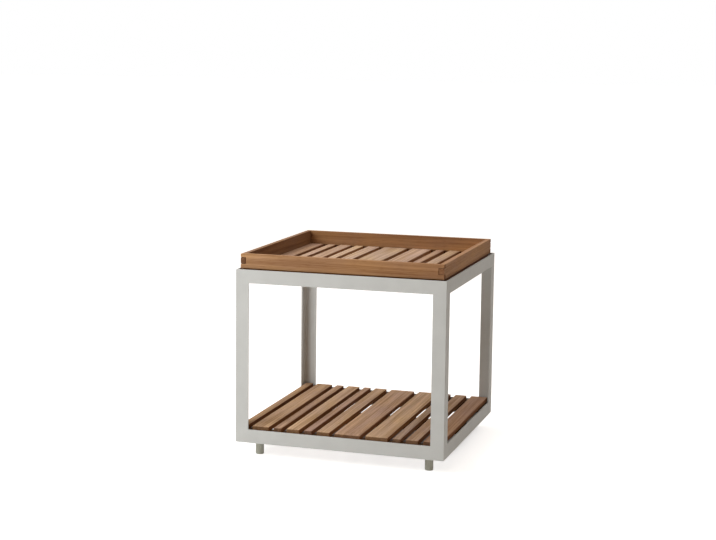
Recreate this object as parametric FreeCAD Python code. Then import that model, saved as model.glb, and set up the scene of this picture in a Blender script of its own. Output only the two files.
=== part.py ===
import FreeCAD, Part
import math
import os

# Side table: an angle-iron style frame on four screw feet, a slatted teak shelf and a lift-off teak tray.
# Millimetres. +Z is up, +X to the right, the front faces -Y. The origin is on the floor under the centre.

Vector = FreeCAD.Vector

# Frame of equal-leg angle
frame_width = 500.0
frame_depth = 500.0
frame_height = 408.0        # underside of the bottom rails to the rim of the top rails
angle_leg = 31.5
angle_wall = 3.0
angle_edge_radius = 0.9     # outside edges along the section, softened by the coating
post_end_chamfer = 0.6      # outside edges round both ends of a post
angle_root_radius = 2.5     # inside corner of the section

# Corner plates, nuts and screw feet
foot_height = 35.0
foot_diameter = 19.5
foot_chamfer = 1.2          # round the foot's lower rim
foot_offset = 13.0          # foot axis to the inner edge of each ledge
plate_leg = 46.0
plate_tip = 8.0             # blunt end of each plate leg
plate_thickness = 3.0
nut_across_flats = 13.0
nut_height = 6.5
stud_diameter = 8.0
stud_reach = 22.0           # stud above the foot
stud_seat = 16.0            # stud inside the foot
stud_clearance = 0.3        # around the stud, in plate and nut
stud_seat_clearance = 0.05

# Slatted decks, which drop into the frame and rest on its ledges
deck_clearance = 5.5        # deck edge to the inside of the angle
slat_thickness = 10.5
slat_edge_radius = 1.5      # round the top
shelf_slat_widths = [18.0, 40.0, 18.5, 30.5, 17.5, 30.0, 61.0, 52.0, 18.0, 28.0, 41.0]
tray_slat_widths = [36.0, 18.5, 27.5, 19.5, 29.5, 59.5, 49.5, 19.0, 27.0, 49.0]
shelf_batten_height = 26.0
tray_batten_height = 21.0
batten_setback = 3.0        # outer battens, in from the slat ends
middle_batten_width = 24.0

# Tray wall, finger-jointed at its corners, standing on the battens round the slats
wall_height = 43.0
wall_thickness = 12.0
wall_edge_radius = 1.0
finger_height = 13.5        # the side boards' tongue
finger_drop = 9.0           # top of the wall to the tongue
tray_slat_gap = 0.5         # tray slats to the wall, all round

# Pan-head screws that hold the shelf down on the ledges
fixing_diameter = 5.0
fixing_head_diameter = 9.0
fixing_head_height = 3.0
fixing_bite = 12.0
fixing_clearance = 0.1

# Worked out from the sizes above
frame_base = foot_height
rim_height = frame_base + frame_height
foot_inset = angle_leg + foot_offset
deck_width = frame_width - 2 * (angle_wall + deck_clearance)
deck_depth = frame_depth - 2 * (angle_wall + deck_clearance)
outer_batten_width = angle_leg - angle_wall - deck_clearance - batten_setback
outer_batten_y = deck_depth / 2 - batten_setback - outer_batten_width / 2
shelf_base = frame_base + angle_wall
tray_base = rim_height - angle_leg + angle_wall
tray_inner_width = deck_width - 2 * (wall_thickness + tray_slat_gap)
tray_inner_depth = deck_depth - 2 * (wall_thickness + tray_slat_gap)

corner_names = ["front_left", "front_right", "back_right", "back_left"]
side_names = ["front", "right", "back", "left"]
side_lengths = [frame_width, frame_depth, frame_width, frame_depth]
touch = 1e-6

os.makedirs("parts", exist_ok=True)


def save(node, *solids):
    shape = solids[0] if len(solids) == 1 else Part.makeCompound(list(solids))
    shape.exportStep(f"parts/{node}.step")


def prism(points, direction):
    outline = Part.makePolygon([Vector(*p) for p in points + points[:1]])
    return Part.Face(outline).extrude(Vector(*direction))


def cylinder(x, y, z, diameter, height):
    return Part.makeCylinder(diameter / 2, height, Vector(x, y, z))


def edges_at(shape, **place):
    # Straight edges whose middle lies at the given coordinates
    def lies_there(edge):
        middle = edge.CenterOfMass
        return all(abs(getattr(middle, axis) - value) < touch for axis, value in place.items())
    return [edge for edge in shape.Edges if lies_there(edge)]


def at_corner(shape, quarter, width, depth, z=0.0):
    # From a corner's own frame (X and Y inwards along the two sides) to one of the four corners
    x, y = [(-1, -1), (1, -1), (1, 1), (-1, 1)][quarter]
    placed = shape.copy()
    placed.rotate(Vector(0, 0, 0), Vector(0, 0, 1), 90 * quarter)
    placed.translate(Vector(x * width / 2, y * depth / 2, z))
    return placed


# Posts: an L in plan, full height, rounded on the outside edge and chamfered round the outside of both ends
def make_post():
    a, t = angle_leg, angle_wall
    outline = [(0, 0, 0), (a, 0, 0), (a, t, 0), (t, t, 0), (t, a, 0), (0, a, 0)]
    post = prism(outline, (0, 0, frame_height))
    post = post.makeFillet(angle_edge_radius, edges_at(post, x=0, y=0))
    ends = [edge for z in (0, frame_height) for edge in edges_at(post, y=0, z=z) + edges_at(post, x=0, z=z)]
    post = post.makeChamfer(post_end_chamfer, ends)
    return post.makeFillet(angle_root_radius, edges_at(post, x=t, y=t))


# Rails: the same L lying down, rim outside and ledge inside. The rim stops at the posts, and the ledge
# runs on inside them to a mitre, notched round the post's root radius.
def make_rail(length):
    a, t, r = angle_leg, angle_wall, angle_root_radius
    section = [(0, 0, 0), (0, a, 0), (0, a, t), (0, t, t), (0, t, a), (0, 0, a)]
    rail = prism(section, (length, 0, 0))
    rail = rail.makeFillet(angle_edge_radius, edges_at(rail, y=0, z=0) + edges_at(rail, y=0, z=a))
    rail = rail.makeFillet(r, edges_at(rail, y=t, z=t))
    half_plan = [(a, 0), (a, t), (t + r, t), (t + r, t + r), (a, a)]
    plan = half_plan + [(length - x, y) for x, y in reversed(half_plan)]
    return rail.common(prism([(x, y, 0) for x, y in plan], (0, 0, a))).Solids[0]


# Feet: a plate in each corner between the ledges, a nut on it, and a foot with a stud
def make_corner_plate():
    a, leg, tip = angle_leg, plate_leg, plate_tip
    outline = [(a, a), (a + leg, a), (a + leg, a + tip), (a + tip, a + leg), (a, a + leg)]
    plate = prism([(x, y, 0) for x, y in outline], (0, 0, plate_thickness))
    bore = cylinder(foot_inset, foot_inset, 0, stud_diameter + 2 * stud_clearance, plate_thickness)
    return plate.cut(bore)


def make_nut():
    corner = nut_across_flats / math.sqrt(3)
    angles = [math.radians(60 * step) for step in range(6)]
    z = plate_thickness
    outline = [(foot_inset + corner * math.cos(a), foot_inset + corner * math.sin(a), z) for a in angles]
    bore = cylinder(foot_inset, foot_inset, z, stud_diameter + 2 * stud_clearance, nut_height)
    return prism(outline, (0, 0, nut_height)).cut(bore)


def make_foot():
    foot = cylinder(foot_inset, foot_inset, -foot_height, foot_diameter, foot_height)
    lower_rim = [edge for edge in foot.Edges if edge.BoundBox.ZMax < touch - foot_height]
    foot = foot.makeChamfer(foot_chamfer, lower_rim)
    seat_diameter = stud_diameter + 2 * stud_seat_clearance
    return foot.cut(cylinder(foot_inset, foot_inset, -stud_seat, seat_diameter, stud_seat))


def make_stud():
    return cylinder(foot_inset, foot_inset, -stud_seat, stud_diameter, stud_seat + stud_reach)


# Decks: slats front to back, on battens across them
def slat_spans(widths, across):
    gap = (across - sum(widths)) / (len(widths) - 1)
    left = -across / 2
    spans = []
    for width in widths:
        spans.append((left, left + width))
        left += width + gap
    return spans


def make_slat(left, right, length, z):
    slat = Part.makeBox(right - left, length, slat_thickness, Vector(left, -length / 2, z))
    return slat.makeFillet(slat_edge_radius, [edge for edge in slat.Edges
                                              if edge.BoundBox.ZMin > z + slat_thickness - touch])


def make_batten(y, width, height, z):
    return Part.makeBox(deck_width, width, height, Vector(-deck_width / 2, y - width / 2, z))


def make_deck(spans, slat_length, base, batten_height):
    slats = [make_slat(left, right, slat_length, base + batten_height) for left, right in spans]
    battens = {"front": make_batten(-outer_batten_y, outer_batten_width, batten_height, base),
               "middle": make_batten(0.0, middle_batten_width, batten_height, base),
               "back": make_batten(outer_batten_y, outer_batten_width, batten_height, base)}
    return slats, battens


# Tray wall boards in elevation: front and back boards are notched at both ends for the side boards' tongues
def make_wall(length, notched):
    high = wall_height - finger_drop
    low = high - finger_height
    if notched:
        half = [(0, 0), (0, low), (wall_thickness, low), (wall_thickness, high), (0, high), (0, wall_height)]
    else:
        half = [(wall_thickness, 0), (wall_thickness, low), (0, low), (0, high), (wall_thickness, high),
                (wall_thickness, wall_height)]
    outline = half + [(length - x, z) for x, z in reversed(half)]
    wall = prism([(x, 0, z) for x, z in outline], (0, wall_thickness, 0))
    top = edges_at(wall, y=0, z=wall_height) + edges_at(wall, y=wall_thickness, z=wall_height)
    return wall.makeFillet(wall_edge_radius, top)


def make_fixing(x, y):
    head = cylinder(x, y, frame_base - fixing_head_height, fixing_head_diameter, fixing_head_height)
    return head.fuse(cylinder(x, y, frame_base, fixing_diameter, angle_wall + fixing_bite)).removeSplitter()


def fixing_hole(x, y):
    return cylinder(x, y, frame_base, fixing_diameter + 2 * fixing_clearance, angle_wall + fixing_bite)


# Shelf: the deck, and two fixing screws through each of the front and back ledges, between slats
shelf_spans = slat_spans(shelf_slat_widths, deck_width)
shelf_slats, shelf_battens = make_deck(shelf_spans, deck_depth, shelf_base, shelf_batten_height)
fixing_xs = [(shelf_spans[left][1] + shelf_spans[left + 1][0]) / 2 for left in (1, len(shelf_spans) - 3)]
fixings = {"front": [(x, -outer_batten_y) for x in fixing_xs], "back": [(x, outer_batten_y) for x in fixing_xs]}
for row, places in fixings.items():
    for place in places:
        shelf_battens[row] = shelf_battens[row].cut(fixing_hole(*place))

# Frame and feet
for quarter, corner in enumerate(corner_names):
    save(f"{corner}_post", at_corner(make_post(), quarter, frame_width, frame_depth, frame_base))
    save(f"{corner}_corner_plate", at_corner(make_corner_plate(), quarter, frame_width, frame_depth, frame_base))
    save(f"{corner}_foot", at_corner(make_foot(), quarter, frame_width, frame_depth, frame_base))
    save(f"{corner}_foot_stud", at_corner(make_stud(), quarter, frame_width, frame_depth, frame_base))
save("weld_nuts", *[at_corner(make_nut(), quarter, frame_width, frame_depth, frame_base) for quarter in range(4)])
for quarter, side in enumerate(side_names):
    rail = make_rail(side_lengths[quarter])
    save(f"{side}_top_rail", at_corner(rail, quarter, frame_width, frame_depth, rim_height - angle_leg))
    bottom = at_corner(rail, quarter, frame_width, frame_depth, frame_base)
    for place in fixings.get(side, []):
        bottom = bottom.cut(fixing_hole(*place))
    save(f"{side}_bottom_rail", bottom)

for index, slat in enumerate(shelf_slats, 1):
    save(f"shelf_slat_{index:02d}", slat)
for row, batten in shelf_battens.items():
    save(f"shelf_batten_{row}", batten)
save("shelf_fixing_screws", *[make_fixing(*place) for places in fixings.values() for place in places])

# Tray: its own deck, shorter all round, so that the wall stands on the battens outside the slats
tray_spans = slat_spans(tray_slat_widths, tray_inner_width)
tray_slats, tray_battens = make_deck(tray_spans, tray_inner_depth, tray_base, tray_batten_height)
tray_walls = {}
for quarter, side in enumerate(side_names):
    along_x = quarter % 2 == 0
    wall = make_wall(deck_width if along_x else deck_depth, notched=along_x)
    tray_walls[side] = at_corner(wall, quarter, deck_width, deck_depth, tray_base + tray_batten_height)

for index, slat in enumerate(tray_slats, 1):
    save(f"tray_slat_{index:02d}", slat)
for row, batten in tray_battens.items():
    save(f"tray_batten_{row}", batten)
for side, wall in tray_walls.items():
    save(f"tray_{side}_wall", wall)
print("sub-parts written:", len(os.listdir("parts")))
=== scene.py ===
import bpy
import math
import numpy as np
from mathutils import Matrix, Vector


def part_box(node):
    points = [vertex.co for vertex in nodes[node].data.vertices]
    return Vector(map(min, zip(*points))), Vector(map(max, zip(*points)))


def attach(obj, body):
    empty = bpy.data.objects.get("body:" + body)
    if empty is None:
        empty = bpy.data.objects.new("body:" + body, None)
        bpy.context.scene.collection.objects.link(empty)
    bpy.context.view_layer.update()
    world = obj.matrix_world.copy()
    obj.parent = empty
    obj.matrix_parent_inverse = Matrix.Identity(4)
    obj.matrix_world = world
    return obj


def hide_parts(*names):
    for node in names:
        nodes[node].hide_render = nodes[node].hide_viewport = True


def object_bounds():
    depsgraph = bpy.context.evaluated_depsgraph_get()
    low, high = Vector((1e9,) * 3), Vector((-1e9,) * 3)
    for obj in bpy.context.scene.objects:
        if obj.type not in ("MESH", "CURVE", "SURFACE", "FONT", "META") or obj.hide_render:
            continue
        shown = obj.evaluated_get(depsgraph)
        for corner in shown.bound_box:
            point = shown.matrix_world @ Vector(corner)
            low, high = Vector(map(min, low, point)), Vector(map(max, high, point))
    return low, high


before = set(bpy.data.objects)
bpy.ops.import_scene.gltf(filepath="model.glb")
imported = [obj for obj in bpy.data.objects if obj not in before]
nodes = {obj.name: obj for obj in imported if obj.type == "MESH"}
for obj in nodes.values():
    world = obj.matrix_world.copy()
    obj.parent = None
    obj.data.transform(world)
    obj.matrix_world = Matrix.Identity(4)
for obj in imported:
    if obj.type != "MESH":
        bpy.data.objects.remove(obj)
cadBox = [list(corner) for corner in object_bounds()]
random = np.random.default_rng(11)
mm = 0.001


def linear(hexColour):  # sRGB hex to linear RGBA by the standard transfer curve
    srgb = np.array([int(hexColour[i:i + 2], 16) for i in (1, 3, 5)]) / 255
    rgb = np.where(srgb <= 0.04045, srgb / 12.92, ((srgb + 0.055) / 1.055) ** 2.4)
    return (*rgb.tolist(), 1.0)


def addNode(tree, kind, inputs=None, **settings):  # one node, its settings, and a value or link for each socket
    node = tree.nodes.new("ShaderNode" + kind)
    for name, value in settings.items():
        setattr(node, name, value)
    for key, value in (inputs or {}).items():
        if isinstance(value, bpy.types.NodeSocket):
            tree.links.new(value, node.inputs[key])
        else:
            node.inputs[key].default_value = value
    return node


def newMaterial(name):
    material = bpy.data.materials.new(name)
    material.use_nodes = True
    tree = material.node_tree
    tree.nodes.clear()
    shader = addNode(tree, "BsdfPrincipled")
    addNode(tree, "OutputMaterial", {"Surface": shader.outputs[0]})
    return material, tree, shader


# Powder coat: polyester baked on aluminium angle. An even light grey, nearly matt, with the faint
# orange peel of the cured powder.
coat = dict(colour="#CED2D1", peel=1.4 * mm, peelDeep=0.05 * mm, peelStrength=0.12, mottle=40 * mm,
            mottleShade=(0.97, 1.03), roughness=0.6)


def powderCoat():
    material, tree, shader = newMaterial("powderCoatLightGrey")
    place = addNode(tree, "TexCoord").outputs["Object"]
    peel = addNode(tree, "TexNoise", {"Vector": place, "Scale": 1 / coat["peel"], "Detail": 2.0})
    mottle = addNode(tree, "TexNoise", {"Vector": place, "Scale": 1 / coat["mottle"], "Detail": 3.0})
    darkest, lightest = coat["mottleShade"]
    shade = addNode(tree, "MapRange", {"Value": mottle.outputs[0], "From Min": 0.3, "From Max": 0.7,
                                       "To Min": darkest, "To Max": lightest})
    colour = addNode(tree, "VectorMath", {0: linear(coat["colour"])[:3], "Scale": shade.outputs[0]}, operation="SCALE")
    bump = addNode(tree, "Bump", {"Height": peel.outputs[0], "Strength": coat["peelStrength"],
                                  "Distance": coat["peelDeep"]})
    tree.links.new(colour.outputs[0], shader.inputs["Base Color"])
    tree.links.new(bump.outputs[0], shader.inputs["Normal"])
    shader.inputs["Roughness"].default_value = coat["roughness"]
    return material


# Teak, planed and sanded, left without oil. Growth rings run through the board at a slant, so they show as
# long wavering lines on its face and as arcs on its ends. Soft bands, fine dark pore lines along the grain, and
# patches that lean to yellow or to pink. Each board carries its own colour and its own place in the log.
# The pores are drawn about three times as wide as real ones, so that they show in the picture.
# A pattern has its size across and along the board, and the settings of its noise. A layer has the range of its
# pattern, and the shade at the low and the high end of that range.
teakLook = dict(
    patterns=dict(wander=(45 * mm, 380 * mm, dict(Detail=2.0)),
                  bands=(9 * mm, 420 * mm, dict(Detail=2.0, Distortion=0.6)),
                  streaks=(2.2 * mm, 160 * mm, dict(Detail=3.0)),
                  pores=(1.1 * mm, 22 * mm, dict(Detail=1.0)),
                  patches=(38 * mm, 120 * mm, dict(Detail=2.0))),
    # the last layer darkens sawn ends, and as painted shade also the sides of the slats and the rebated feet of the
    # walls
    layers=dict(bands=(0.32, 0.68, 0.78, 1.2), streaks=(0.3, 0.7, 0.86, 1.12), rings=(-1.0, 1.0, 0.93, 1.05),
                pores=(0.28, 0.42, 0.78, 1.0), endGrain=(0.0, 1.0, 1.0, 0.38)),
    # side is how far the sides of the slats are painted darker, painted shade of the gaps between them; sideTint makes
    # them redder, painted light bounced from the neighbouring boards
    ring=3.2 * mm, slant=24, wanderPhase=26.0, logSpread=2.0, poreDeep=0.25 * mm, side=0.9,
    yellow=(1.05, 1.01, 0.9, 1.0), pink=(0.98, 0.97, 1.03, 1.0), darkTint=(1.0, 0.8, 0.64, 1.0),
    sideTint=(1.2, 0.95, 0.6, 1.0), specular=0.2)  # bare open-pored wood hardly shines


def teak():
    material, tree, shader = newMaterial("sandedTeak")
    grain = addNode(tree, "Attribute", attribute_name="grain").outputs["Vector"]
    tone = addNode(tree, "Attribute", attribute_name="boardColour").outputs["Color"]
    endGrain = addNode(tree, "Attribute", attribute_name="endGrain").outputs["Fac"]
    found = {}
    for name, (across, along, settings) in teakLook["patterns"].items():  # noise drawn out along the board
        scale = (1 / across, 1 / across, 1 / along)
        place = addNode(tree, "VectorMath", {0: grain, 1: scale}, operation="MULTIPLY").outputs[0]
        found[name] = addNode(tree, "TexNoise", {"Vector": place, "Scale": 1.0, **settings}).outputs[0]

    # a ring is the sine of the distance across the log, pushed to and fro by the wander
    slant, ring = math.radians(teakLook["slant"]), teakLook["ring"]
    outward = (2 * math.pi * math.sin(slant) / ring, 2 * math.pi * math.cos(slant) / ring, 0.0)
    distance = addNode(tree, "VectorMath", {0: grain, 1: outward}, operation="DOT_PRODUCT").outputs["Value"]
    phase = addNode(tree, "Math", {0: found["wander"], 1: teakLook["wanderPhase"], 2: distance},
                    operation="MULTIPLY_ADD").outputs[0]
    found["rings"] = addNode(tree, "Math", {0: phase}, operation="SINE").outputs[0]
    found["endGrain"] = addNode(tree, "Math", {0: endGrain}, operation="ABSOLUTE").outputs[0]
    shade = 1.0
    for name, (low, high, shadeAtLow, shadeAtHigh) in teakLook["layers"].items():
        layer = addNode(tree, "MapRange", {"Value": found[name], "From Min": low, "From Max": high,
                                           "To Min": shadeAtLow, "To Max": shadeAtHigh})
        shade = addNode(tree, "Math", {0: shade, 1: layer.outputs[0]}, operation="MULTIPLY").outputs[0]
    lit = addNode(tree, "VectorMath", {0: tone, "Scale": shade}, operation="SCALE").outputs[0]
    patches = addNode(tree, "MapRange", {"Value": found["patches"], "From Min": 0.35, "From Max": 0.65})
    lean = addNode(tree, "Mix", {0: patches.outputs[0], 6: teakLook["yellow"], 7: teakLook["pink"]}, data_type="RGBA")
    lit = addNode(tree, "VectorMath", {0: lit, 1: lean.outputs[2]}, operation="MULTIPLY").outputs[0]
    # darker wood is also redder
    isDark = addNode(tree, "MapRange", {"Value": shade, "From Min": 0.45, "From Max": 1.0,
                                        "To Min": 1.0, "To Max": 0.0})
    colour = addNode(tree, "Mix", {0: isDark.outputs[0], 6: lit, 7: teakLook["darkTint"]}, data_type="RGBA",
                     blend_type="MULTIPLY")
    # below zero the attribute marks the sides of the slats: painted shade makes them darker, and painted light from
    # neighbouring boards makes them redder
    isSide = addNode(tree, "MapRange", {"Value": endGrain, "From Min": -teakLook["side"], "From Max": 0.0,
                                        "To Min": 1.0, "To Max": 0.0})
    colour = addNode(tree, "Mix", {0: isSide.outputs[0], 6: colour.outputs[2], 7: teakLook["sideTint"]},
                     data_type="RGBA", blend_type="MULTIPLY")
    rough = addNode(tree, "MapRange", {"Value": found["bands"], "From Min": 0.3, "From Max": 0.7,
                                       "To Min": 0.86, "To Max": 0.74})
    bump = addNode(tree, "Bump", {"Height": found["pores"], "Strength": 0.35, "Distance": teakLook["poreDeep"]})
    tree.links.new(colour.outputs[2], shader.inputs["Base Color"])
    tree.links.new(rough.outputs[0], shader.inputs["Roughness"])
    tree.links.new(bump.outputs[0], shader.inputs["Normal"])
    shader.inputs["Specular IOR Level"].default_value = teakLook["specular"]
    return material


# Nylon, moulded: a dull grey-green with the fine grit of the mould
nylon = dict(dark="#B8BBAE", light="#CDD0C4", grit=1.2 * mm, gritDeep=0.1 * mm, roughness=0.5)


def footPlastic():
    material, tree, shader = newMaterial("mouldedGreyNylon")
    place = addNode(tree, "TexCoord").outputs["Object"]
    grit = addNode(tree, "TexNoise", {"Vector": place, "Scale": 1 / nylon["grit"], "Detail": 2.0})
    colour = addNode(tree, "ValToRGB", {0: grit.outputs[0]})
    colour.color_ramp.elements[0].color = linear(nylon["dark"])
    colour.color_ramp.elements[1].color = linear(nylon["light"])
    bump = addNode(tree, "Bump", {"Height": grit.outputs[0], "Strength": 0.2, "Distance": nylon["gritDeep"]})
    tree.links.new(colour.outputs[0], shader.inputs["Base Color"])
    tree.links.new(bump.outputs[0], shader.inputs["Normal"])
    shader.inputs["Roughness"].default_value = nylon["roughness"]
    return material


# Stainless bar, drawn: a soft bright metal with fine lines round the axis, here 1.1 mm apart so that they show
steel = dict(colour="#B9B8B4", lineLength=50 / 3 * mm, lineGap=10 / 9 * mm, smoothest=0.25, roughest=0.5)


def stainless():
    material, tree, shader = newMaterial("drawnStainless")
    place = addNode(tree, "TexCoord").outputs["Object"]
    scale = (1 / steel["lineLength"], 1 / steel["lineLength"], 1 / steel["lineGap"])
    place = addNode(tree, "VectorMath", {0: place, 1: scale}, operation="MULTIPLY").outputs[0]
    lines = addNode(tree, "TexNoise", {"Vector": place, "Scale": 1.0, "Detail": 2.0})
    rough = addNode(tree, "MapRange", {"Value": lines.outputs[0], "To Min": steel["smoothest"],
                                       "To Max": steel["roughest"]})
    tree.links.new(rough.outputs[0], shader.inputs["Roughness"])
    shader.inputs["Base Color"].default_value = linear(steel["colour"])
    shader.inputs["Metallic"].default_value = 1.0
    return material


coatMaterial, teakMaterial, nylonMaterial, steelMaterial = powderCoat(), teak(), footPlastic(), stainless()
print("materials made")


def gridQuads(rows, columns, closed=False):  # faces from each row of a grid to the next, all round its columns
    i, j = np.meshgrid(np.arange(rows if closed else rows - 1), np.arange(columns), indexing="ij")
    this, following, k = i * columns, (i + 1) % rows * columns, (j + 1) % columns
    return np.stack([this + j, this + k, following + k, following + j], -1).reshape(-1, 4)


# A board is a rectangle with eased corners carried along its length. With t from firstTurn to 90 degrees at each
# end, a row lies ease * (1 - cos t) from the end and its corner radii are drawn in by their share 1 - sin t.
# Columns run round from the right side over the top, so that column 4 is the top, 9 and 19 are the sides and 14 is
# the underside. The columns from firstSide on, apart from the underside, get the painted shade of the sides.
boardGrid = dict(perCorner=5, endRows=5, runRows=9, firstTurn=0.2, firstSide=8, underside=14)


def board(name, node, axis, colour, ease, lowEase):
    low, high = np.array(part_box(node))
    across = 1 - axis
    half = (high - low) / 2
    middle = (high + low) / 2
    length = 2 * half[axis]
    perCorner = boardGrid["perCorner"]
    turn = np.linspace(boardGrid["firstTurn"], math.pi / 2, boardGrid["endRows"])
    run = np.linspace(ease, length - ease, boardGrid["runRows"])[1:-1]
    steps = np.concatenate([ease * (1 - np.cos(turn)), run, length - ease * (1 - np.cos(turn[::-1]))])
    keep = np.concatenate([np.sin(turn), np.ones(len(run)), np.sin(turn[::-1])])[:, None]
    angle = (np.arange(4)[:, None] * math.pi / 2 + np.linspace(0, math.pi / 2, perCorner)).ravel()
    radius = np.repeat([ease, ease, lowEase, lowEase], perCorner)
    sideways, upwards = np.repeat([[1, -1, -1, 1], [1, 1, -1, -1]], perCorner, axis=1)
    points = np.zeros((len(steps), len(angle), 3))
    points[..., across] = middle[across] + sideways * (half[across] - radius) + keep * radius * np.cos(angle)
    points[..., 2] = middle[2] + upwards * (half[2] - radius) + keep * radius * np.sin(angle)
    points[..., axis] = low[axis] + steps[:, None]
    rows, columns = points.shape[:2]
    quads = gridQuads(rows, columns)
    start, end = np.arange(columns)[::-1], (rows - 1) * columns + np.arange(columns)
    if axis == 1:
        quads, start, end = quads[:, ::-1], start[::-1], end[::-1]
    column = np.tile(np.arange(columns), rows - 1)
    isSide = (column >= boardGrid["firstSide"]) & (column != boardGrid["underside"])
    endsAndPaintedShade = np.concatenate([np.where(isSide, -teakLook["side"], 0.0), [1.0, 1.0]])
    return finishBoard(name, node, points.reshape(-1, 3), quads.tolist() + [start.tolist(), end.tolist()],
                       endsAndPaintedShade, axis, middle, (colour, colour))


# What teak needs to know: grain is the place in the log, boardColour runs from one end's tone to the other's, and
# the darkening attribute is 0 on a face of the board, up to 1 on sawn ends and as painted shade in rebates, and below
# 0 as painted shade on the sides of the slats
def finishBoard(name, node, points, faces, endsAndPaintedShade, axis, middle, tones):
    mesh = bpy.data.meshes.new(name)
    mesh.from_pydata(points.tolist(), [], faces)
    across = 1 - axis
    shift = random.uniform(-teakLook["logSpread"], teakLook["logSpread"], 3)
    log = np.stack([points[:, across] - middle[across], points[:, 2] - middle[2], points[:, axis]], -1) + shift
    mesh.attributes.new("grain", "FLOAT_VECTOR", "POINT").data.foreach_set("vector", log.ravel())
    start, end = (np.array(linear(tone)) for tone in tones)
    share = (points[:, axis] - points[:, axis].min()) / np.ptp(points[:, axis])
    tint = start + share[:, None] * (end - start)
    mesh.attributes.new("boardColour", "FLOAT_COLOR", "POINT").data.foreach_set("color", tint.ravel())
    mesh.attributes.new("endGrain", "FLOAT", "FACE").data.foreach_set("value", endsAndPaintedShade)
    mesh.materials.append(teakMaterial)
    piece = bpy.data.objects.new(name, mesh)
    bpy.context.scene.collection.objects.link(piece)
    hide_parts(node)
    return piece


# Shelf and tray, left to right, as the photograph shows the boards. Two shelf boards were sanded more along the
# edges of one gap, where more light comes through: rounder has how much more at the top and at the foot.
# The battens' colour, much darker than any slat's, is painted shade for their place under the slats.
shelf = dict(body="frame", slot="shelf_teak", ease=0.8 * mm, lowEase=0.2 * mm,
             rounder={6: (0.0, 0.9 * mm), 7: (1.3 * mm, 0.0)},
             colours=["#A88A6C", "#BFA183", "#B89A81", "#D1B494", "#B69884", "#C9AC8F", "#C4A58B", "#D0B393",
                      "#B19985", "#BDA189", "#AC8C74"], batten="#54402E")
tray = dict(body="tray", slot="tray_teak", ease=1.2 * mm, lowEase=0.2 * mm, rounder={},
            colours=["#B4947A", "#BFA38B", "#BFA288", "#DFC6AB", "#C7AD96", "#BCA288", "#C4A890", "#B4967F",
                     "#B89D84", "#CAAF98"], batten="#7D5F45")
for deck, word in ((shelf, "shelf"), (tray, "tray")):
    for number, colour in enumerate(deck["colours"], 1):
        moreTop, moreFoot = deck["rounder"].get(number, (0.0, 0.0))
        piece = board(f"{word}Slat{number:02d}", f"{word}_slat_{number:02d}", 1, colour, deck["ease"] + moreTop,
                      deck["lowEase"] + moreFoot)
        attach(piece, deck["body"])
    for row in ("front", "middle", "back"):
        piece = board(f"{word}Batten{row.title()}", f"{word}_batten_{row}", 0, deck["batten"], deck["ease"],
                      deck["lowEase"])
        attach(piece, deck["body"])
print("slats and battens made")

# Tray wall boards: the outline of the finger-jointed board in elevation, carried through its thickness.
# The tongue of each side board fills the notch in the ends of the front and back boards. Below the rim of the
# frame the wall is rebated on the outside, which leaves a dark line all round the tray, and the rebated foot is
# painted darker all over: painted shade.
wall = dict(colours=dict(front=("#B58E66", "#A57D5A"), back=("#94704D", "#9C7450"), left=("#906E50", "#8C6A4D"),
                         right=("#B38C6B", "#B08A6A")),
            finger=13.5 * mm, drop=9 * mm, ease=0.9 * mm, joint=0.8 * mm, rebate=4 * mm, foot=9 * mm,
            endGrain=0.52, footGrain=0.9)


def slab(outline, axis, near, far):  # outline along the board and up, carried across from near to far
    count = len(outline)
    points = np.zeros((2, count, 3))
    points[..., axis] = outline[:, 0]
    points[..., 2] = outline[:, 1]
    points[..., 1 - axis] = np.array([[near], [far]])
    j = np.arange(count)
    k = (j + 1) % count
    faces = np.stack([j, k, count + k, count + j], -1).tolist() + [j[::-1].tolist(), (count + j).tolist()]
    if axis == 0:
        faces = [face[::-1] for face in faces]
    upright = np.abs(outline[k, 0] - outline[j, 0]) < 1e-6
    return points.reshape(-1, 3), faces, np.concatenate([upright * wall["endGrain"], [0.0, 0.0]])


def wallBoard(side, axis, tones):
    node = f"tray_{side}_wall"
    low, high = np.array(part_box(node))
    across = 1 - axis
    thick = high[across] - low[across]
    play = wall["joint"] if axis == 0 else 0.0  # the notch is a little larger than the tongue, a dark line round it
    upper = high[2] - wall["drop"] + play
    lower = high[2] - wall["drop"] - wall["finger"] - play
    foot = low[2] + wall["foot"]
    a, b = (0.0, thick + play) if axis == 0 else (thick, 0.0)
    left = np.array([(a, foot), (a, lower), (b, lower), (b, upper), (a, upper), (a, high[2])])
    right = np.stack([high[axis] - low[axis] - left[::-1, 0], left[::-1, 1]], -1)
    outline = np.concatenate([left, right]) + (low[axis], 0)
    points, faces, endsAndPaintedShade = slab(outline, axis, low[across], high[across])
    inset = wall["rebate"] if axis == 0 else thick
    outerIsLow = low[across] + high[across] < 0
    near = low[across] + wall["rebate"] * outerIsLow
    far = high[across] - wall["rebate"] * (not outerIsLow)
    start, end = low[axis] + inset, high[axis] - inset
    footOutline = np.array([(start, low[2]), (start, foot), (end, foot), (end, low[2])])
    footPoints, footFaces, footEnds = slab(footOutline, axis, near, far)
    faces += [[len(points) + corner for corner in face] for face in footFaces]
    endsAndPaintedShade = np.concatenate([endsAndPaintedShade, np.full(len(footEnds), wall["footGrain"])])
    piece = finishBoard(f"trayWall{side.title()}", node, np.concatenate([points, footPoints]), faces, endsAndPaintedShade, axis,
                        (low + high) / 2, tones)
    bevel = piece.modifiers.new("easedEdges", "BEVEL")
    bevel.width, bevel.segments, bevel.limit_method = wall["ease"], 3, "ANGLE"
    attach(piece, "tray")


for side, axis in (("front", 0), ("back", 0), ("left", 1), ("right", 1)):
    wallBoard(side, axis, wall["colours"][side])
print("tray wall made")


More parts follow.
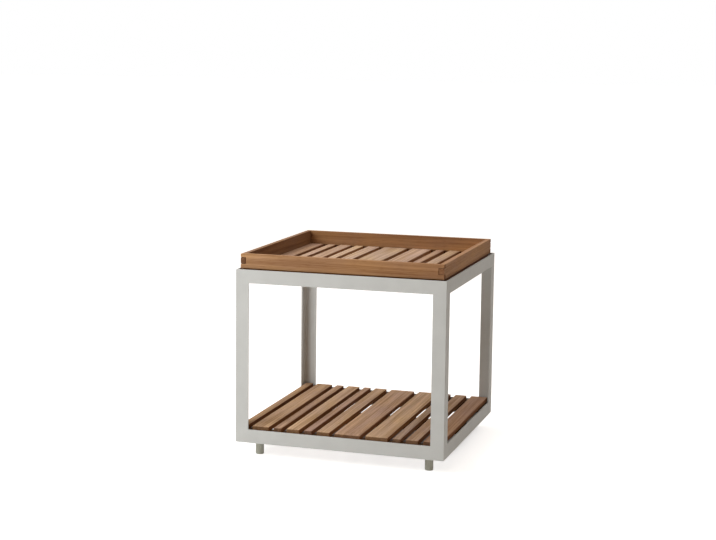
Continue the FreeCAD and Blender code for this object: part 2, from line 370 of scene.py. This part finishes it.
# A turned piece is a profile carried round an upright axis at each place: radius and height are arrays of row by
# angle. A closed profile joins its last row to its first, and an open one gets a flat cap at each end.
def turned(name, places, radius, height, closed=False, turns=0.0):
    rows, columns = radius.shape
    angle = np.arange(columns) * 2 * math.pi / columns + np.broadcast_to(turns, len(places))[:, None, None]
    height = np.broadcast_to(height, radius.shape)
    shape = np.stack([radius * np.cos(angle), radius * np.sin(angle), height + 0 * angle], -1)
    points = (np.array(places)[:, None, None, :] + shape).reshape(-1, 3)
    first = np.arange(len(places))[:, None, None] * rows * columns
    faces = (first + gridQuads(rows, columns, closed)).reshape(-1, 4).tolist()
    if not closed:
        ring = np.arange(columns)
        faces += (first + np.stack([ring[::-1], (rows - 1) * columns + ring])).reshape(-1, columns).tolist()
    return metalPiece(name, points, faces)


def metalPiece(name, points, faces, crispFrom=38):  # smooth, apart from edges that turn by more than crispFrom degrees
    mesh = bpy.data.meshes.new(name)
    mesh.from_pydata(points.tolist(), [], faces)
    mesh.shade_smooth()
    mesh.set_sharp_from_angle(angle=math.radians(crispFrom))
    piece = bpy.data.objects.new(name, mesh)
    bpy.context.scene.collection.objects.link(piece)
    return piece


def hexagon(acrossFlats, columns):  # distance from the axis to the flats at each angle, corner at angle 0
    angle = np.arange(columns) * 2 * math.pi / columns
    return acrossFlats / 2 / np.cos(angle % (math.pi / 3) - math.pi / 6)


corners = ["front_left", "front_right", "back_right", "back_left"]
footAt = {corner: np.array(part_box(corner + "_foot")).mean(axis=0) for corner in corners}

# Studs: the radius falls from the crest by a zigzag of height less turn, which is a thread, and the top is bevelled
stud = dict(pitch=1.25 * mm, depth=0.6 * mm, bevel=1.3 * mm, columns=20, rowsPerTurn=6)
for corner in corners:
    node = corner + "_foot_stud"
    low, high = np.array(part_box(node))
    height = np.linspace(low[2], high[2], int((high[2] - low[2]) / stud["pitch"] * stud["rowsPerTurn"]))[:, None]
    turn = np.arange(stud["columns"]) / stud["columns"]
    crest = (high[0] - low[0]) / 2
    radius = crest - stud["depth"] * np.abs(2 * ((height / stud["pitch"] - turn) % 1) - 1)
    radius = np.minimum(radius, crest - stud["bevel"] + high[2] - height)
    name = corner.title().replace("_", "") + "FootStud"
    piece = turned(name[0].lower() + name[1:], [(*footAt[corner][:2], 0.0)], radius, height)
    piece.data.materials.append(steelMaterial)
    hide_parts(node)
    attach(piece, "foot_" + corner)

# Weld nuts: a hexagon whose upper corners are cut off by a cone, with a bevelled bore. The cone starts at coneTop of
# the flats' distance and widens downwards by coneSlope.
nut = dict(acrossFlats=13 * mm, bore=8.6 * mm, boreBevel=0.6 * mm, cone=1.5 * mm, coneTop=0.97, coneSlope=0.8,
           coneRows=5, columns=48)
low, high = np.array(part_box("weld_nuts"))
flats = hexagon(nut["acrossFlats"], nut["columns"])
rise = np.linspace(0.0, 1.0, nut["coneRows"])[:, None] * nut["cone"]
limit = nut["acrossFlats"] / 2 * nut["coneTop"] + nut["coneSlope"] * (nut["cone"] - rise)
outside = np.concatenate([flats[None], np.minimum(flats, limit)])
inside = np.array([nut["boreBevel"], 0.0, 0.0])[:, None] + nut["bore"] / 2 + 0 * flats
top = high[2] - low[2]
height = np.concatenate([[0.0], top - nut["cone"] + rise[:, 0], [top, top - nut["boreBevel"], 0.0]])[:, None]
piece = turned("weldNuts", [(*footAt[corner][:2], low[2]) for corner in corners], np.concatenate([outside, inside]),
               height, closed=True, turns=[0, math.pi / 6, 0, math.pi / 6])
piece.data.materials.append(steelMaterial)
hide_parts("weld_nuts")
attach(piece, "frame")

# Fixing screws under the front and back ledges: a domed head with a hexagon socket, then the shank. Each stands
# under the gap that follows one of the slats in afterSlats.
fixing = dict(head=4.5 * mm, headHigh=3.0 * mm, dome=2.0 * mm, domeStart=0.6, shank=2.5 * mm, length=18.0 * mm,
              socket=4.0 * mm, socketDeep=1.6 * mm, socketTaper=0.96, socketRim=0.05 * mm, afterSlats=(2, 9),
              columns=36)
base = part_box("shelf_fixing_screws")[0][2]
across = [(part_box(f"shelf_slat_{n:02d}")[1][0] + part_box(f"shelf_slat_{n + 1:02d}")[0][0]) / 2
          for n in fixing["afterSlats"]]
along = [np.array(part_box("shelf_batten_" + row)).mean(axis=0)[1] for row in ("front", "back")]
socket = hexagon(fixing["socket"], fixing["columns"])
arc = np.linspace(fixing["domeStart"], math.pi / 2, 6)[:, None]
outside = np.concatenate([fixing["head"] * np.sin(arc), [[fixing["head"]], [fixing["shank"]], [fixing["shank"]]]])
radius = np.concatenate([socket[None] * fixing["socketTaper"], socket[None], outside + 0 * socket])
dome = fixing["dome"] * (1 - np.cos(arc[:, 0]) / math.cos(fixing["domeStart"]))
height = np.concatenate([[fixing["socketDeep"], fixing["socketRim"]], dome,
                         [fixing["headHigh"], fixing["headHigh"], fixing["length"]]])[:, None]
piece = turned("shelfFixingScrews", [(x, y, base) for x in across for y in along], radius, height)
piece.data.materials.append(steelMaterial)
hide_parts("shelf_fixing_screws")
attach(piece, "frame")

# Wood screws up through the middle battens into the slats: countersunk heads with a hexagon socket, just proud.
# Profile has shares of the head's radius and heights. A wide slat has two screws.
woodScrew = dict(head=3.6 * mm, profile=[(0.86, 0.0), (1.0, 0.1 * mm), (1.0, 0.2 * mm), (0.5, 2.2 * mm)],
                 socket=3.2 * mm, socketDeep=1.4 * mm, socketTaper=0.95, proud=0.15 * mm, wideSlat=45 * mm, columns=24)
for deck, word in ((shelf, "shelf"), (tray, "tray")):
    boxes = [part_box(f"{word}_slat_{n:02d}") for n in range(1, len(deck["colours"]) + 1)]
    shares = [(0.25, 0.75) if high[0] - low[0] > woodScrew["wideSlat"] else (0.5,) for low, high in boxes]
    across = [low[0] + share * (high[0] - low[0]) for (low, high), pair in zip(boxes, shares) for share in pair]
    low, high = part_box(f"{word}_batten_middle")
    socket = hexagon(woodScrew["socket"], woodScrew["columns"])
    profile = np.array(woodScrew["profile"])
    radius = np.concatenate([socket[None] * woodScrew["socketTaper"], socket[None],
                             woodScrew["head"] * profile[:, :1] + 0 * socket])
    height = np.concatenate([[woodScrew["socketDeep"], 0.0], profile[:, 1]])[:, None] - woodScrew["proud"]
    piece = turned(f"{word}WoodScrews", [(x, (low[1] + high[1]) / 2, low[2]) for x in across], radius, height)
    piece.data.materials.append(steelMaterial)
    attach(piece, deck["body"])
print("studs, nuts and screws made")

# Weld beads under the corner plates: an oval section carried along each seam, swelling with the weld's ripples
# and closing at both ends by the root of closing less step to the power blunt
bead = dict(length=42 * mm, wide=2.2 * mm, deep=1.3 * mm, ripple=2.6 * mm, rippleShare=0.1, blunt=8, closing=1.0005,
            rows=80, columns=12)
rows, columns = bead["rows"], bead["columns"]
step = np.linspace(-1, 1, rows)[:, None]
angle = np.arange(columns) * 2 * math.pi / columns
ripple = np.abs(np.sin(math.pi * step * bead["length"] / 2 / bead["ripple"]))
swell = np.sqrt(bead["closing"] - step ** bead["blunt"]) * (1 + bead["rippleShare"] * ripple)
tube = np.stack([bead["length"] / 2 * step + 0 * angle, bead["wide"] * swell * np.cos(angle),
                 bead["deep"] * swell * np.sin(angle)], -1)
beads = []
for corner in corners:
    low, high = np.array(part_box(corner + "_corner_plate"))
    middle = (low + high) / 2
    inward = -np.sign(footAt[corner][:2])
    edge = np.where(inward > 0, low[:2], high[:2])
    for axis in (0, 1):
        placed = np.zeros_like(tube)
        placed[..., axis] = middle[axis] + tube[..., 0]
        placed[..., 1 - axis] = edge[1 - axis] + tube[..., 1]
        placed[..., 2] = low[2] + tube[..., 2] * (1 if axis == 0 else -1)
        beads.append(placed.reshape(-1, 3))
i, j = np.meshgrid(np.arange(rows - 1), np.arange(columns), indexing="ij")
this, following, k = i * columns, (i + 1) * columns, (j + 1) % columns
quads = np.stack([this + k, following + k, following + j, this + j], -1).reshape(-1, 4)
ring = np.arange(columns)
first = np.arange(len(beads))[:, None, None] * rows * columns
faces = (first + quads).reshape(-1, 4).tolist()
faces += (first + np.stack([ring[::-1], (rows - 1) * columns + ring])).reshape(-1, columns).tolist()
piece = metalPiece("cornerWelds", np.concatenate(beads), faces)
piece.data.materials.append(coatMaterial)
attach(piece, "frame")

# Weld metal fills the small notch that each ledge has round the post's root radius: a low disc with soft rims
fill = dict(inset=4.5 * mm, radius=2.1 * mm, rim=0.8, deep=3 * mm, proud=0.15 * mm, columns=16)
reach = np.array(cadBox[1]) - fill["inset"]
places = [(x * reach[0], y * reach[1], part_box(rail)[0][2]) for rail in ("front_bottom_rail", "front_top_rail")
          for x in (-1, 1) for y in (-1, 1)]
radius = fill["radius"] * np.array([[fill["rim"]], [1.0], [1.0], [fill["rim"]]]) + np.zeros(fill["columns"])
height = np.array([[-fill["proud"]], [0.0], [fill["deep"]], [fill["deep"] + fill["proud"]]])
piece = turned("ledgeWeldFills", places, radius, height)
piece.data.materials.append(coatMaterial)
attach(piece, "frame")
print("welds made")

for name, piece in nodes.items():
    if piece.hide_render:
        continue
    for place in piece.material_slots:
        place.material = nylonMaterial if name.endswith("_foot") else coatMaterial
print("frame and feet coated")

# Studio: a pale floor that stays white where nothing shades it, soft light from above and from the front left.
# The floor glows from near to far. Under the table it glows less and is painted darker, a painted shadow that fades in
# between the from and to corners, all in metres.
studio = dict(floor="#F4F4F2", floorHalf=30.0, floorRoughness=0.9, near=0.6, far=2.2, nearGlow=0.75, farGlow=0.85,
              fill=0.2, fillColour="#FFDEC0",
              shade=dict(fromLow=(-0.31, -0.13, -1), toLow=(-0.235, 0.0, 0), toHigh=(0.18, 0.2, 1),
                         fromHigh=(0.24, 0.25, 2), glow=0.02, colour="#92877E"),
              lamps=[dict(name="overhead", size=2.0, power=21, at=(-0.25, 0.1, 2.9), to=(0, 0, 0.3)),
                     dict(name="keyFrontLeft", size=1.2, power=28, at=(-1.2, -1.6, 1.5), to=(0, 0, 0.3)),
                     dict(name="sideLeft", size=1.2, power=13.5, at=(-2.0, 0.3, 1.9), to=(0, 0, 0.3)),
                     dict(name="backLeft", size=1.4, power=6.5, at=(-1.4, 1.5, 1.9), to=(0, 0, 0.3))])
white = (1, 1, 1, 1)


def seenDirectly(tree):  # 1 where a thing is seen, also by reflection or through glass, and 0 where it lights others
    path = addNode(tree, "LightPath")
    seen = 0.0
    for ray in ("Is Camera Ray", "Is Glossy Ray", "Is Transmission Ray"):
        seen = addNode(tree, "Math", {0: seen, 1: path.outputs[ray]}, operation="MAXIMUM").outputs[0]
    return seen


floorMesh = bpy.data.meshes.new("floor")
half = studio["floorHalf"]
floorMesh.from_pydata([(-half, -half, 0), (half, -half, 0), (half, half, 0), (-half, half, 0)], [], [(0, 1, 2, 3)])
floor = bpy.data.objects.new("floor", floorMesh)
bpy.context.scene.collection.objects.link(floor)
floorMaterial, tree, shader = newMaterial("paleStudioFloor")
place = addNode(tree, "TexCoord").outputs["Object"]
away = addNode(tree, "VectorMath", {0: place}, operation="LENGTH").outputs["Value"]
level = addNode(tree, "MapRange", {"Value": away, "From Min": studio["near"], "From Max": studio["far"],
                                   "To Min": studio["nearGlow"], "To Max": studio["farGlow"]},
                interpolation_type="SMOOTHSTEP").outputs[0]
# the floor under the shelf glows less and is painted darker, a painted shadow, so the gaps between the slats stay dark
shade = studio["shade"]
fade = dict(data_type="FLOAT_VECTOR", interpolation_type="SMOOTHSTEP")
rise = addNode(tree, "MapRange", {6: place, 7: shade["fromLow"], 8: shade["toLow"]}, **fade).outputs[1]
fall = addNode(tree, "MapRange", {6: place, 7: shade["fromHigh"], 8: shade["toHigh"]}, **fade).outputs[1]
both = addNode(tree, "VectorMath", {0: rise, 1: fall}, operation="MULTIPLY").outputs[0]
parts = addNode(tree, "SeparateXYZ", {0: both}).outputs
under = addNode(tree, "Math", {0: parts[0], 1: parts[1]}, operation="MULTIPLY").outputs[0]
level = addNode(tree, "MapRange", {"Value": under, "To Min": level, "To Max": shade["glow"]}).outputs[0]
glow = addNode(tree, "Math", {0: seenDirectly(tree), 1: level}, operation="MULTIPLY")
ground = addNode(tree, "Mix", {0: under, 6: linear(studio["floor"]), 7: linear(shade["colour"])}, data_type="RGBA")
tree.links.new(ground.outputs[2], shader.inputs["Base Color"])
shader.inputs["Roughness"].default_value = studio["floorRoughness"]
shader.inputs["Emission Color"].default_value = white
tree.links.new(glow.outputs[0], shader.inputs["Emission Strength"])
floorMesh.materials.append(floorMaterial)

# World: plain white where it is seen, and a weak warm fill where it lights the table
world = bpy.data.worlds.new("studio")
bpy.context.scene.world = world
world.use_nodes = True
tree = world.node_tree
tree.nodes.clear()
seen = seenDirectly(tree)
strength = addNode(tree, "MapRange", {"Value": seen, "To Min": studio["fill"], "To Max": 1.0})
tint = addNode(tree, "Mix", {0: seen, 6: linear(studio["fillColour"]), 7: white}, data_type="RGBA")
sky = addNode(tree, "Background", {"Color": tint.outputs[2], "Strength": strength.outputs[0]})
addNode(tree, "OutputWorld", {"Surface": sky.outputs[0]})

for lamp in studio["lamps"]:
    light = bpy.data.lights.new(lamp["name"], "AREA")
    light.size, light.energy = lamp["size"], lamp["power"]
    piece = bpy.data.objects.new(lamp["name"], light)
    piece.location = lamp["at"]
    piece.rotation_euler = (Vector(lamp["to"]) - Vector(lamp["at"])).to_track_quat("-Z", "Y").to_euler()
    bpy.context.scene.collection.objects.link(piece)
print("studio lit")

# Camera, fitted to the frame's edges in the 716 x 540 photograph. Angles in degrees, sensor in millimetres.
camera = dict(at=(1.0609, -3.611, 0.9782), yaw=18.5978, pitch=7.2247, roll=0.4655, focalPixels=1578.53,
              axisPixels=(310, 236), middlePixels=(358, 270), widthPixels=716, sensor=36.0)
yaw, pitch, roll = (math.radians(camera[key]) for key in ("yaw", "pitch", "roll"))
forward = Vector((-math.sin(yaw) * math.cos(pitch), math.cos(yaw) * math.cos(pitch), -math.sin(pitch)))
right = Vector((math.cos(yaw), math.sin(yaw), 0))
up = right.cross(forward)
rolledRight = math.cos(roll) * right + math.sin(roll) * up
rolledUp = math.cos(roll) * up - math.sin(roll) * right
lens = bpy.data.cameras.new("photoCamera")
lens.sensor_width = camera["sensor"]
lens.lens = camera["focalPixels"] / camera["widthPixels"] * camera["sensor"]
lens.shift_x = (camera["middlePixels"][0] - camera["axisPixels"][0]) / camera["widthPixels"]
lens.shift_y = (camera["axisPixels"][1] - camera["middlePixels"][1]) / camera["widthPixels"]
view = bpy.data.objects.new("photoCamera", lens)
axes = Matrix((rolledRight, rolledUp, -forward)).transposed()
view.matrix_world = Matrix.Translation(camera["at"]) @ axes.to_4x4()
bpy.context.scene.collection.objects.link(view)
bpy.context.scene.camera = view
bpy.context.scene.view_settings.view_transform = "Standard"
